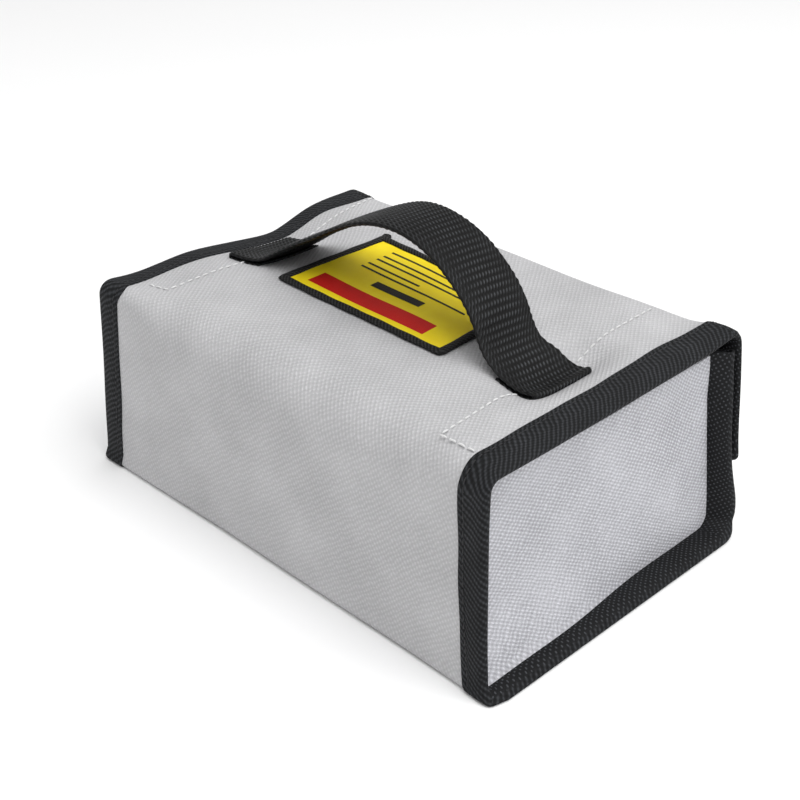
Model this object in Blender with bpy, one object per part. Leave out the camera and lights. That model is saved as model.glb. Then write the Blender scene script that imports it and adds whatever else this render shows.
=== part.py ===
"""Soft box-shaped storage bag for lithium batteries, closed by a lid with a hanging front flap.

The bag is one long strip of coated cloth that forms the bottom, the rear wall, the lid and the front
flap, with two separate end panels. Every cloth edge is bound in folded webbing tape. +X runs along the
length, the lid hinges on the rear wall at -Y, the flap hangs in front at +Y and +Z points up. The origin
is the middle of the footprint, at floor level.
"""

import math

import bmesh
import bpy
from mathutils import Vector

MM = 0.001

# Overall size
LENGTH = 175 * MM
DEPTH = 120 * MM
HEIGHT = 70 * MM

# Layers of cloth and tape
GAP = 0.3 * MM
TAPE = 0.5 * MM
CLOTH = 0.6 * MM
SHELL = TAPE + GAP + CLOTH
STRIP = 0.6 * MM
TAPE_WIDTH = 11 * MM

# Bag body
FRONT_STEP = 3.5 * MM
REAR_TOP = 60 * MM
FRONT_TOP = 62 * MM
BOTTOM_RADIUS = 5 * MM
END_RECESS = 5 * MM
END_PANEL_TOP = 63.3 * MM
END_PANEL_CHAMFER = 2 * MM
MOUTH_TAPE_DROP = 10.5 * MM

# Lid and front flap
LID_REAR_RADIUS = 9.5 * MM
LID_FRONT_RADIUS = 8 * MM
FLAP_TOP = 61 * MM
FLAP_BOTTOM = 25.5 * MM
FLAP_RADIUS = 3.5 * MM
HINGE_OFFSET = 0.2 * MM

# Hook-and-loop strips
CLOSURE_HALF_LENGTH = 60 * MM
FLAP_HOOK_Z = (42.5 * MM, 55 * MM)
FRONT_LOOP_Z = (34 * MM, 51.2 * MM)
LID_HOOK_X = (59.5 * MM, 75.5 * MM)
LID_HOOK_Y = (-44 * MM, 48 * MM)

# Tuck flaps that fold in over the contents from the end panels
TUCK_TIP_X = 58.5 * MM
TUCK_Y = (-44 * MM, 46 * MM)
TUCK_CHAMFER = 6 * MM
TUCK_TAPE_WIDTH = 8 * MM
TUCK_LOOP_X = (67 * MM, 79 * MM)

# Carrying handle
WEBBING_WIDTH = 27 * MM
WEBBING = 1.1 * MM
HANDLE_LEFT_X = (-72 * MM, -51.5 * MM)
HANDLE_RIGHT_X = (61.5 * MM, 44.5 * MM)
HANDLE_FOLD_GAP = 0.2 * MM
HANDLE_PIVOT_Z = 71.5 * MM
ARCH_POINTS = [
    (-51, 77.2),
    (-41, 82.5),
    (-28, 90),
    (-15, 96.8),
    (0, 99.8),
    (14, 97.3),
    (26, 91),
    (35, 83.8),
    (41, 77),
]
ARCH_STEPS = 3

# Label patch under the handle
LABEL_X = (-43.5 * MM, 28.2 * MM)
LABEL_Y = (-19 * MM, 27 * MM)
LABEL_EDGE = 3 * MM
LABEL_THICKNESS = 0.5 * MM
LABEL_EDGE_HEIGHT = 0.9 * MM

ARC_STEPS = 5
CUT_MARGIN = 5 * MM
SMOOTH_ANGLE = math.radians(30)
HINGE_MARK = 20 * MM

HALF_LENGTH = LENGTH / 2
REAR_Y = -DEPTH / 2
FLAP_Y = DEPTH / 2
FRONT_Y = FLAP_Y - FRONT_STEP
LINING_DEPTH = SHELL + GAP
INNER_TAPE_DEPTH = LINING_DEPTH + CLOTH + GAP
LID_TAPE_DEPTH = SHELL + GAP + TAPE
TAPE_INNER_X = HALF_LENGTH - TAPE_WIDTH
CLOTH_END_X = HALF_LENGTH - TAPE - GAP
PANEL_FACE_X = HALF_LENGTH - END_RECESS
TUCK_HINGE_Z = END_PANEL_TOP + GAP / 2


def clear_scene():
    for obj in list(bpy.data.objects):
        bpy.data.objects.remove(obj, do_unlink=True)


def make_material(name, color, roughness):
    material = bpy.data.materials.new(name)
    material.use_nodes = True
    shader = material.node_tree.nodes["Principled BSDF"]
    shader.inputs["Base Color"].default_value = (*color, 1.0)
    shader.inputs["Roughness"].default_value = roughness
    shader.inputs["Metallic"].default_value = 0.0
    return material


def place(name, mesh, material, parent=None):
    """Add a mesh modelled in world coordinates, as a child of its hinge where it has one."""
    mesh.materials.append(material)
    mesh.shade_smooth()
    mesh.set_sharp_from_angle(angle=SMOOTH_ANGLE)
    obj = bpy.data.objects.new(name, mesh)
    bpy.context.collection.objects.link(obj)
    if parent:
        obj.parent = parent
        obj.location = -parent.location
    return obj


def make_hinge(name, location):
    hinge = bpy.data.objects.new(name, None)
    hinge.location = location
    hinge.empty_display_size = HINGE_MARK
    bpy.context.collection.objects.link(hinge)
    return hinge


def skin_rings(name, rings):
    """Closed mesh through rings of equal point counts, capped at both ends."""
    bm = bmesh.new()
    loops = [[bm.verts.new(point) for point in ring] for ring in rings]
    for first, second in zip(loops, loops[1:]):
        for i, corner in enumerate(first):
            j = (i + 1) % len(first)
            bm.faces.new((corner, first[j], second[j], second[i]))
    bm.faces.new(loops[0])
    bm.faces.new(loops[-1])
    bmesh.ops.recalc_face_normals(bm, faces=bm.faces)
    mesh = bpy.data.meshes.new(name)
    bm.to_mesh(mesh)
    bm.free()
    return mesh


def prism(name, outline, low, high, axis):
    """Straight extrusion of a 2-D outline along X, Y or Z."""

    def ring(level):
        if axis == "X":
            return [(level, a, b) for a, b in outline]
        if axis == "Y":
            return [(a, level, b) for a, b in outline]
        return [(a, b, level) for a, b in outline]

    return skin_rings(name, [ring(low), ring(high)])


def rectangle(a, b):
    """Outline of a rectangle from its ranges along the first and second direction."""
    return [(a[0], b[0]), (a[1], b[0]), (a[1], b[1]), (a[0], b[1])]


def rounded_path(corners):
    """2-D polyline through (a, b, radius) corners, with each radius drawn as an arc."""
    points = []
    for i, (a, b, radius) in enumerate(corners):
        here = Vector((a, b))
        if not radius:
            points.append(here)
            continue
        before = (Vector(corners[i - 1][:2]) - here).normalized()
        after = (Vector(corners[(i + 1) % len(corners)][:2]) - here).normalized()
        centre = here + (before + after) * radius
        for step in range(ARC_STEPS + 1):
            angle = math.pi / 2 * step / ARC_STEPS
            points.append(centre - after * radius * math.cos(angle) - before * radius * math.sin(angle))
    return points


def inset(path, depth):
    """Move a polyline to its left by a depth."""
    normals = []
    for first, second in zip(path, path[1:]):
        direction = (second - first).normalized()
        normals.append(Vector((-direction.y, direction.x)))
    moved = []
    for i, point in enumerate(path):
        first = normals[max(i - 1, 0)]
        second = normals[min(i, len(normals) - 1)]
        moved.append(point + (first + second) * depth / (1 + first.dot(second)))
    return moved


def sweep_wall(name, path, section):
    """Sweep a section of (x, depth) points along a path in the YZ plane."""
    layers = [(x, inset(path, depth)) for x, depth in section]
    rings = [[(x, layer[i].x, layer[i].y) for x, layer in layers] for i in range(len(path))]
    return skin_rings(name, rings)


def mirrored(section, side):
    return [(side * x, depth) for x, depth in section]


def cut(target, name, mesh):
    """Subtract a hidden cutter from an object."""
    cutter = bpy.data.objects.new(name, mesh)
    bpy.context.collection.objects.link(cutter)
    cutter.hide_render = True
    cutter.display_type = "WIRE"
    if target.parent:
        cutter.parent = target.parent
        cutter.location = target.location
    modifier = target.modifiers.new(name, "BOOLEAN")
    modifier.operation = "DIFFERENCE"
    modifier.object = cutter


def wall_section(thin, thick):
    """Cloth section that is thinner under the binding tape at both ends."""
    return [
        (-CLOTH_END_X, thin),
        (-TAPE_INNER_X + GAP, thin),
        (-TAPE_INNER_X + GAP, 0),
        (TAPE_INNER_X - GAP, 0),
        (TAPE_INNER_X - GAP, thin),
        (CLOTH_END_X, thin),
        (CLOTH_END_X, thick),
        (-CLOTH_END_X, thick),
    ]


def tape_section(depth, inner_x):
    """Tape folded over a cloth edge: outer leg, fold and inner leg."""
    return [
        (TAPE_INNER_X, 0),
        (HALF_LENGTH, 0),
        (HALF_LENGTH, depth),
        (inner_x, depth),
        (inner_x, depth - TAPE),
        (HALF_LENGTH - TAPE, depth - TAPE),
        (HALF_LENGTH - TAPE, TAPE),
        (TAPE_INNER_X, TAPE),
    ]


def body_path():
    """Outer face of the bag body, down the rear wall, along the bottom and up the front wall."""
    return rounded_path(
        [
            (REAR_Y, REAR_TOP - GAP / 2, 0),
            (REAR_Y, 0, BOTTOM_RADIUS),
            (FRONT_Y, 0, BOTTOM_RADIUS),
            (FRONT_Y, FRONT_TOP, 0),
        ]
    )


def lid_path():
    """Outer face of the lid, up the front corner, over the top and round to the rear hinge."""
    return rounded_path(
        [
            (FLAP_Y, FLAP_TOP + GAP / 2, 0),
            (FLAP_Y, HEIGHT, LID_FRONT_RADIUS),
            (REAR_Y, HEIGHT, LID_REAR_RADIUS),
            (REAR_Y, REAR_TOP + GAP / 2, 0),
        ]
    )


def make_shell(cloth):
    section = wall_section(TAPE + GAP, SHELL)
    place("outer_shell", sweep_wall("outer_shell", body_path(), section), cloth)


def make_end_panel(side, name, cloth):
    """Panel recessed between the flanges, with lips that run out under the tape."""

    def outline(depth):
        wall = inset(body_path(), depth)
        rear, front = wall[0], wall[-1]
        shoulder_y = max(rear.x, REAR_Y + LID_TAPE_DEPTH + GAP)
        top = [
            (front.x, END_PANEL_TOP),
            (shoulder_y + END_PANEL_CHAMFER, END_PANEL_TOP),
            (shoulder_y, rear.y),
        ]
        return [tuple(point) for point in wall] + top

    back_x = PANEL_FACE_X - CLOTH
    panel = place(name, prism(name, outline(LINING_DEPTH), side * back_x, side * CLOTH_END_X, "X"), cloth)
    pocket = [(a, b + CUT_MARGIN if b > FRONT_TOP else b) for a, b in outline(LINING_DEPTH + CLOTH)]
    far_x = HALF_LENGTH + CUT_MARGIN
    cut(panel, name + "_pocket", prism("pocket", pocket, side * PANEL_FACE_X, side * far_x, "X"))


def make_body_lining(cloth):
    """Open tub of lining cloth inside the shell and the end panels."""

    def outline(depth, rise):
        wall = inset(body_path(), depth)
        rear, front = wall[0], wall[-1]
        top = [(front.x, front.y + rise - GAP), (rear.x, rear.y + rise)]
        return [tuple(point) for point in wall[1:-1]] + top

    end_x = PANEL_FACE_X - CLOTH - GAP
    tub = place("body_lining", prism("body_lining", outline(LINING_DEPTH, 0), -end_x, end_x, "X"), cloth)
    inside = outline(LINING_DEPTH + CLOTH, CUT_MARGIN)
    cut(tub, "lining_space", prism("lining_space", inside, -end_x + CLOTH, end_x - CLOTH, "X"))


def make_end_binding(side, name, tape):
    section = tape_section(INNER_TAPE_DEPTH + TAPE, PANEL_FACE_X + GAP)
    place(name, sweep_wall(name, body_path(), mirrored(section, side)), tape)


def make_mouth_binding(tape):
    """Tape folded over the top edge of the front wall and its lining."""
    outer_y = FRONT_Y + GAP + TAPE
    inner_y = FRONT_Y - LINING_DEPTH - CLOTH - GAP - TAPE
    low_z = FRONT_TOP - MOUTH_TAPE_DROP
    top_z = FRONT_TOP + GAP + TAPE
    outline = [
        (outer_y, low_z),
        (outer_y, top_z),
        (inner_y, top_z),
        (inner_y, low_z),
        (inner_y + TAPE, low_z),
        (inner_y + TAPE, top_z - TAPE),
        (outer_y - TAPE, top_z - TAPE),
        (outer_y - TAPE, low_z),
    ]
    reach = TAPE_INNER_X - GAP
    place("mouth_binding", prism("mouth_binding", outline, -reach, reach, "X"), tape)


def make_front_loop(strip):
    outline = rectangle((-CLOSURE_HALF_LENGTH, CLOSURE_HALF_LENGTH), FRONT_LOOP_Z)
    low_y = FRONT_Y + GAP
    place("front_loop_strip", prism("front_loop_strip", outline, low_y, low_y + STRIP, "Y"), strip)


def make_body(cloth, tape, strip):
    make_shell(cloth)
    make_body_lining(cloth)
    for side, word in ((-1, "left"), (1, "right")):
        make_end_panel(side, "end_panel_" + word, cloth)
        make_end_binding(side, "end_binding_" + word, tape)
    make_mouth_binding(tape)
    make_front_loop(strip)


def make_lid(hinge, cloth, tape, strip):
    section = wall_section(TAPE + GAP, SHELL)
    place("lid_panel", sweep_wall("lid_panel", lid_path(), section), cloth, hinge)

    flat_end = (FLAP_Y - LID_FRONT_RADIUS - GAP, HEIGHT, 0)
    lining_path = rounded_path([flat_end, (REAR_Y, HEIGHT, LID_REAR_RADIUS), (REAR_Y, REAR_TOP + GAP / 2, 0)])
    reach = TAPE_INNER_X - GAP
    lining = rectangle((-reach, reach), (LINING_DEPTH, LINING_DEPTH + CLOTH))
    place("lid_lining", sweep_wall("lid_lining", lining_path, lining), cloth, hinge)

    hook_top = HEIGHT - LINING_DEPTH - CLOTH - GAP
    for side, word in ((-1, "left"), (1, "right")):
        name = "lid_binding_" + word
        section = mirrored(tape_section(LID_TAPE_DEPTH, TAPE_INNER_X), side)
        place(name, sweep_wall(name, lid_path(), section), tape, hinge)

        name = "lid_hook_strip_" + word
        outline = rectangle((side * LID_HOOK_X[0], side * LID_HOOK_X[1]), LID_HOOK_Y)
        place(name, prism(name, outline, hook_top - STRIP, hook_top, "Z"), strip, hinge)


def make_handle_end(name, reach, webbing, hinge):
    """Strap end folded back under itself, sewn flat on the lid from its tip to where the arch starts."""
    far_x, near_x = reach
    inner_far_x = far_x - math.copysign(WEBBING, far_x)
    low_z = HEIGHT + GAP
    top_z = low_z + 2 * WEBBING + HANDLE_FOLD_GAP
    outline = [
        (near_x, low_z),
        (far_x, low_z),
        (far_x, top_z),
        (near_x, top_z),
        (near_x, top_z - WEBBING),
        (inner_far_x, top_z - WEBBING),
        (inner_far_x, low_z + WEBBING),
        (near_x, low_z + WEBBING),
    ]
    half_width = WEBBING_WIDTH / 2
    place(name, prism(name, outline, -half_width, half_width, "Y"), webbing, hinge)


def make_label(hinge, yellow, tape):
    low_z = HEIGHT + GAP
    outer = rectangle(LABEL_X, LABEL_Y)
    window_x = (LABEL_X[0] + LABEL_EDGE, LABEL_X[1] - LABEL_EDGE)
    window_y = (LABEL_Y[0] + LABEL_EDGE, LABEL_Y[1] - LABEL_EDGE)
    frame = prism("label_border", outer, low_z, low_z + LABEL_EDGE_HEIGHT, "Z")
    border = place("label_border", frame, tape, hinge)
    window = rectangle(window_x, window_y)
    cut(border, "label_window", prism("label_window", window, low_z - CUT_MARGIN, low_z + CUT_MARGIN, "Z"))
    patch_x = (window_x[0] + GAP, window_x[1] - GAP)
    patch_y = (window_y[0] + GAP, window_y[1] - GAP)
    patch = prism("label_patch", rectangle(patch_x, patch_y), low_z, low_z + LABEL_THICKNESS, "Z")
    place("label_patch", patch, yellow, hinge)


def smooth_curve(points, steps):
    """Catmull-Rom curve through 2-D points given in millimetres."""
    knots = [Vector(point) * MM for point in points]
    knots = [2 * knots[0] - knots[1]] + knots + [2 * knots[-1] - knots[-2]]
    curve = []
    for a, b, c, d in zip(knots, knots[1:], knots[2:], knots[3:]):
        for step in range(steps):
            t = step / steps
            bend = (2 * a - 5 * b + 4 * c - d) * t * t + (3 * b - a - 3 * c + d) * t * t * t
            curve.append((2 * b + (c - a) * t + bend) / 2)
    curve.append(knots[-2])
    return curve


def make_handle_strap(hinge, webbing):
    """Free arch of the carrying strap between its two sewn ends."""
    top = smooth_curve(ARCH_POINTS, ARCH_STEPS)
    bottom = inset(top, -WEBBING)
    half_width = WEBBING_WIDTH / 2
    rings = [
        [(a.x, -half_width, a.y), (a.x, half_width, a.y), (b.x, half_width, b.y), (b.x, -half_width, b.y)]
        for a, b in zip(top, bottom)
    ]
    place("handle_strap", skin_rings("handle_strap", rings), webbing, hinge)


def make_flap(hinge, cloth, tape, strip):
    """Front flap with tape round its two sides and its lower edge."""
    top_z = FLAP_TOP - GAP / 2
    inner_y = FLAP_Y - SHELL

    def outline(margin, top):
        reach = HALF_LENGTH - margin
        low_z = FLAP_BOTTOM + margin
        radius = FLAP_RADIUS - margin
        left = [(-reach, top, 0), (-reach, low_z, radius)]
        path = rounded_path(left + [(reach, low_z, radius), (reach, top, 0)])
        return [tuple(point) for point in path]

    def window(margin, top):
        reach = TAPE_INNER_X - margin
        return rectangle((-reach, reach), (FLAP_BOTTOM + TAPE_WIDTH + margin, top))

    edge = TAPE + GAP
    thin = prism("flap_panel", outline(edge, top_z), inner_y, FLAP_Y, "Y")
    panel = place("flap_panel", thin, cloth, hinge)
    rim = flap_rebate(outline(-CUT_MARGIN, top_z), window(GAP, top_z + CUT_MARGIN), FLAP_Y - edge)
    cut(panel, "flap_rebate", rim)

    tape_y = inner_y - GAP - TAPE
    folded = prism("flap_binding", outline(0, top_z), tape_y, FLAP_Y, "Y")
    binding = place("flap_binding", folded, tape, hinge)
    slot = outline(TAPE, top_z + CUT_MARGIN)
    cut(binding, "flap_slot", prism("flap_slot", slot, tape_y + TAPE, FLAP_Y - TAPE, "Y"))
    through = window(0, top_z + CUT_MARGIN)
    cut(binding, "flap_window", prism("flap_window", through, tape_y - CUT_MARGIN, FLAP_Y + CUT_MARGIN, "Y"))

    hook = rectangle((-CLOSURE_HALF_LENGTH, CLOSURE_HALF_LENGTH), FLAP_HOOK_Z)
    mesh = prism("flap_hook_strip", hook, inner_y - GAP - STRIP, inner_y - GAP, "Y")
    place("flap_hook_strip", mesh, strip, hinge)


def flap_rebate(outer, window, low_y):
    """U-shaped cutter that thins the flap cloth under its tape, open at the top."""
    high_y = FLAP_Y + CUT_MARGIN
    left, right = window[0][0], window[1][0]
    low_z = window[0][1]
    top_z = window[2][1]
    reach = max(a for a, b in outer)
    base_z = min(b for a, b in outer)
    outline = [
        (-reach, base_z),
        (reach, base_z),
        (reach, top_z),
        (right, top_z),
        (right, low_z),
        (left, low_z),
        (left, top_z),
        (-reach, top_z),
    ]
    return prism("flap_rebate", outline, low_y, high_y, "Y")


def make_tuck_flap(side, word, hinge, cloth, tape, strip):
    """Flap that folds in from the top of an end panel, over the contents and under the lid."""

    def outline(margin, hinge_x):
        tip = TUCK_TIP_X - margin
        low_y, high_y = TUCK_Y[0] - margin, TUCK_Y[1] + margin
        corner = TUCK_CHAMFER + margin * (2 - math.sqrt(2))
        points = [
            (hinge_x, low_y),
            (hinge_x, high_y),
            (tip + corner, high_y),
            (tip, high_y - corner),
            (tip, low_y + corner),
            (tip + corner, low_y),
        ]
        return [(side * x, y) for x, y in points]

    leg_z = TUCK_HINGE_Z + GAP / 2
    tape_z = leg_z
    cloth_z = tape_z + TAPE + GAP
    top_z = cloth_z + CLOTH
    name = "tuck_flap_" + word
    panel = place(name, prism(name, outline(0, PANEL_FACE_X), leg_z, top_z, "Z"), cloth, hinge)
    under = rectangle((side * (TUCK_TIP_X - CUT_MARGIN), side * (PANEL_FACE_X - CLOTH)), (-FLAP_Y, FLAP_Y))
    cut(panel, name + "_underside", prism("underside", under, cloth_z - CUT_MARGIN, cloth_z, "Z"))

    name = "tuck_binding_" + word
    edge = TAPE + GAP
    high_z = top_z + GAP + TAPE
    tape_end_x = PANEL_FACE_X - CLOTH - GAP
    binding = place(name, prism(name, outline(edge, tape_end_x), tape_z, high_z, "Z"), tape, hinge)
    slot = outline(GAP, tape_end_x + CUT_MARGIN)
    cut(binding, name + "_slot", prism("slot", slot, tape_z + TAPE, high_z - TAPE, "Z"))
    window = outline(edge - TUCK_TAPE_WIDTH, tape_end_x + CUT_MARGIN)
    cut(binding, name + "_window", prism("window", window, tape_z - CUT_MARGIN, high_z + CUT_MARGIN, "Z"))

    name = "tuck_loop_strip_" + word
    inner_y = (TUCK_Y[0] + TUCK_TAPE_WIDTH + GAP, TUCK_Y[1] - TUCK_TAPE_WIDTH - GAP)
    loop = rectangle((side * TUCK_LOOP_X[0], side * TUCK_LOOP_X[1]), inner_y)
    place(name, prism(name, loop, top_z + GAP, top_z + GAP + STRIP, "Z"), strip, hinge)


def main():
    clear_scene()
    silver = make_material("silver_cloth", (0.52, 0.52, 0.54), 0.55)
    lining = make_material("lining_cloth", (0.50, 0.50, 0.52), 0.6)
    black_tape = make_material("black_tape", (0.022, 0.023, 0.026), 0.8)
    webbing = make_material("black_webbing", (0.02, 0.02, 0.022), 0.75)
    fastener = make_material("hook_and_loop", (0.03, 0.03, 0.032), 0.95)
    yellow = make_material("label_yellow", (0.80, 0.58, 0.03), 0.6)

    lid_hinge = make_hinge("lid_hinge", (0, REAR_Y - HINGE_OFFSET, REAR_TOP))
    flap_hinge = make_hinge("flap_hinge", (0, FLAP_Y, FLAP_TOP))
    handle_pivot = make_hinge("handle_pivot", (0, 0, HANDLE_PIVOT_Z))

    make_body(silver, black_tape, fastener)
    make_lid(lid_hinge, silver, black_tape, fastener)
    make_label(lid_hinge, yellow, black_tape)
    make_handle_strap(handle_pivot, webbing)
    make_flap(flap_hinge, silver, black_tape, fastener)
    for side, word, reach in ((-1, "left", HANDLE_LEFT_X), (1, "right", HANDLE_RIGHT_X)):
        make_handle_end("handle_end_" + word, reach, webbing, lid_hinge)
        tuck_hinge = make_hinge("tuck_hinge_" + word, (side * PANEL_FACE_X, 0, TUCK_HINGE_Z))
        make_tuck_flap(side, word, tuck_hinge, silver, black_tape, fastener)
    bpy.data.objects["body_lining"].material_slots[0].material = lining
    bpy.data.objects["lid_lining"].material_slots[0].material = lining
    bpy.context.view_layer.update()


main()
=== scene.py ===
import math

import bpy
import numpy as np
from mathutils import Matrix, Vector


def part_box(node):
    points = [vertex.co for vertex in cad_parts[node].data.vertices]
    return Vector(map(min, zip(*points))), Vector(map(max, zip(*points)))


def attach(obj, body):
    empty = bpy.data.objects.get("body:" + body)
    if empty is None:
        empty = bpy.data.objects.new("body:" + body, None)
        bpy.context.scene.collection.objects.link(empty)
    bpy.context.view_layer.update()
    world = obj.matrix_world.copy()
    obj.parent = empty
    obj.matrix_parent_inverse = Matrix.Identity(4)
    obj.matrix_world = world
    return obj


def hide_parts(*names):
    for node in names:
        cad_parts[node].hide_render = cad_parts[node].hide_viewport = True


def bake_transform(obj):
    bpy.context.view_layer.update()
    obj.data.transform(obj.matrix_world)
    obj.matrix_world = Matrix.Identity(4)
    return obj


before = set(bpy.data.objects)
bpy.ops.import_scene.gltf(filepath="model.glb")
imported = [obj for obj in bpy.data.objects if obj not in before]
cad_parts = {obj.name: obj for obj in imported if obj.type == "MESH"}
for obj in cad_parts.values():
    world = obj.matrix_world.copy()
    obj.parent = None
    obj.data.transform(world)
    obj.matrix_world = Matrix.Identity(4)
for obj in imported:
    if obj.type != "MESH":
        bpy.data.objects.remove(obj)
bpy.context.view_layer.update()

# The looks of a soft box-shaped storage bag: one long strip of coated cloth that forms the front wall,
# bottom, rear wall, lid and front flap, two end panels, and folded tape over every edge. Shapes are made
# straight, in millimetres, in the frame's own axes, and soften() then slumps them all together.

MM = 0.001
SIDES = ((-1, "left"), (1, "right"))


def box_mm(node):
    low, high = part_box(node)
    return np.array(low) / MM, np.array(high) / MM


# Places, from the frame
shell_low, shell_high = box_mm("outer_shell")
lid_high = box_mm("lid_panel")[1]
END = box_mm("end_binding_right")[1][0]
TAPE_EDGE = box_mm("end_binding_right")[0][0]
REAR, FRONT, MOUTH = shell_low[1], shell_high[1], shell_high[2]
TOP, FLAP_FACE = lid_high[2], lid_high[1]
HEM = box_mm("flap_binding")[0][2]
PANEL_TOP = box_mm("end_panel_right")[1][2]

# Layers: thicknesses, and depths below the face of the tape
CLOTH = 0.6
TAPE = 0.5
CLOTH_DEPTH = 0.42
LINING_DEPTH = 1.35

# Outer face of the end panels, how far the strip's cloth stops short of the ends, what a panel's cloth
# loses of the wall's width and height, and the lining's gap behind the panel and margin at its edges
PANEL_X = box_mm("end_panel_right")[0][0] + CLOTH
CLOTH_INSET = 1.2
PANEL_TRIM = (5.0, 2.3)
LINING_GAP = 0.5
LINING_MARGIN = 2.2

# Folded tape: its width, the U where it turns inwards, how thick it is over the cloth on each stretch,
# how far its inner leg reaches where the end panel is recessed, and its radius at the hem's corners
TAPE_WIDTH = END - TAPE_EDGE
TAPE_BEND_U = 12.4
BODY_LEG = 3.1
LID_LEG = 2.7
FLAP_LEG = 2.2
RECESS = 7.2
FLAP_CORNER = 3.5

# Roundness of the long folds, at the ends of the bag and what the middle adds
FOLDS = {"front_bottom": (7, 2), "rear_bottom": (2, 1.5), "rear_top": (5.5, 10.5), "front_top": (5, 4)}

# Slump: how far the soft box has moved from the straight one, where it has moved most
RIGHT_LEAN_REAR = 6.0
RIGHT_LEAN_FRONT = 7.0
LEFT_LEAN = 2.5
FRONT_LEAN = 2.6
CORNER_LEAN_LOSS = 2.0
WALL_LEAN = 6.6
FOOT_SPLAY = 3.2
FRONT_SPLAY = 3.4
FRONT_EDGE_BULGE = 2.6
WALL_BELLY = 0.7
LID_TILT = 2.0
RIGHT_SEAT_DENT = 5.6
LEFT_SEAT_DENT = 1.4

# Dips along the lid's left end: depth, where along Y, and how far each spreads behind and in front
LEFT_END_DIPS = [(5.4, 15, 24, 15), (1.5, -14, 16, 16), (1.9, -42, 16, 16), (0.9, -40, 14, 14)]

# Rows of the strip: straight stretches from the mouth round to the hem, and each fold between them
STRAIGHT_ROWS = (22, 26, 22, 44, 14)
FOLD_ROWS = 10
CLOTH_COLUMNS = 84


def smooth(low, high, value):
    """0 at low, 1 at high, with an S-curve between them."""
    t = np.clip((value - low) / (high - low), 0, 1)
    return t * t * (3 - 2 * t)


def bump(value, centre, width):
    return np.exp(-(((value - centre) / width) ** 2))


def unit(vectors):
    return vectors / np.maximum(np.linalg.norm(vectors, axis=-1, keepdims=True), 1e-12)


# The slumped shape


def left_end_lift(y):
    """Height of the lid's free left end along the depth: pressed down a little in front of the middle."""
    lift = 0.5 * smooth(12, 22, y) + 0.2 * smooth(48, 60, y) - 1.2 * smooth(-36, -56, y)
    for depth, place, behind, before in LEFT_END_DIPS:
        lift = lift - depth * bump(y, place, np.where(y < place, behind, before))
    return lift


def lid_sag(x, y):
    """How far the lid lies above its flat place."""
    at_right = smooth(40, 72, x)
    at_left = smooth(-45, -85, x)
    far_corner = 1.2 * smooth(40, 58, y) * smooth(68, 82, x)
    right_end = 0.9 + 1.1 * smooth(-45, 50, y) - 0.9 * smooth(78, END, x) + far_corner
    ripple = 0.25 * np.sin(x / 17 + 1.3) * np.sin(y / 14) + 0.15 * np.sin(x / 9 - y / 11)
    middle = LID_TILT * smooth(-25, 50, y) + ripple
    right_seat = RIGHT_SEAT_DENT * bump(x, 61, np.where(x < 61, 12.5, 8)) * np.exp(-((y / 20) ** 4))
    left_seat = LEFT_SEAT_DENT * bump(x, -66, 13) * bump(y, -2, 17)
    free = middle * (1 - at_right - at_left) + right_end * at_right + left_end_lift(y) * at_left
    return free - right_seat - left_seat


def right_lean(y, z):
    """Lean of the right end: at the rear it starts low down, and in front mostly at the top."""
    height = np.clip(z / TOP, 0, 1)
    share = smooth(-50, 55, y)
    rear = 0.25 * smooth(0, 5, z) + 0.75 * (1 - (1 - height) ** 1.7)
    return RIGHT_LEAN_REAR * rear * (1 - share) + RIGHT_LEAN_FRONT * height**1.6 * share


def soften(points):
    """Turn the straight box into the slumped one. Every piece goes through this, so they stay together."""
    x, y, z = points[..., 0], points[..., 1], points[..., 2]
    height = np.clip(z / TOP, 0, 1)
    right = np.clip(x / END, 0, None) ** 1.5
    left = np.clip(-x / END, 0, None) ** 1.5
    front = smooth(-20, 60, y)
    at_end = smooth(80, END, np.abs(x))
    lean = right_lean(y, z) * right - LEFT_LEAN * height * left
    foot = FOOT_SPLAY * (1 - smooth(0, 5, z)) * at_end * (1 - 0.5 * smooth(-53, -60, y))
    foot = foot * np.where(x < 0, 0.4, 1)
    new_x = x - lean + np.sign(x) * foot

    belly = np.sin(math.pi * height) * np.cos(math.pi / 2 * np.clip(x / END, -1, 1))
    wall = smooth(40, 56, y) - smooth(-45, -58, y)
    ripple = 0.2 * np.sin(x / 13 + z / 19) * np.sin(z / 11 + 0.7)
    splay = FRONT_SPLAY * (1 - smooth(0, 42, z)) + FRONT_EDGE_BULGE * bump(z, 9, np.where(z > 9, 11, 8))
    splay = splay * at_end * smooth(40, FRONT, y)
    below_lid = (y < FRONT + 1.1) * (1 - smooth(MOUTH + 0.8, MOUTH + 2.5, z))
    at_panel = smooth(62, 78, np.abs(x)) * (1 - 0.85 * smooth(82, END, np.abs(x)))
    tuck_in = WALL_LEAN * height**1.3 * smooth(20, 52, y) * at_panel * below_lid
    lean_back = (FRONT_LEAN - CORNER_LEAN_LOSS * smooth(68, END, x)) * height**1.5 * front
    rear_foot = 1.1 * (1 - smooth(0, 6, z)) * smooth(-50, -58, y)
    new_y = y - lean_back + 0.3 * height * (1 - front) + wall * (WALL_BELLY * belly + ripple)
    new_y = new_y + splay - tuck_in - rear_foot
    new_z = z + height**2 * lid_sag(x, y)
    return np.stack([new_x, new_y, new_z], axis=-1)


def hardened(targets, level):
    """Straight-box XY of points that must land on target XY once slumped, at a straight-box level."""
    targets = np.asarray(targets, float)
    guess = targets.copy()
    for _ in range(6):
        flat = np.concatenate([guess, np.full(guess.shape[:-1] + (1,), level)], axis=-1)
        guess += targets - soften(flat)[..., :2]
    return guess


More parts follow.
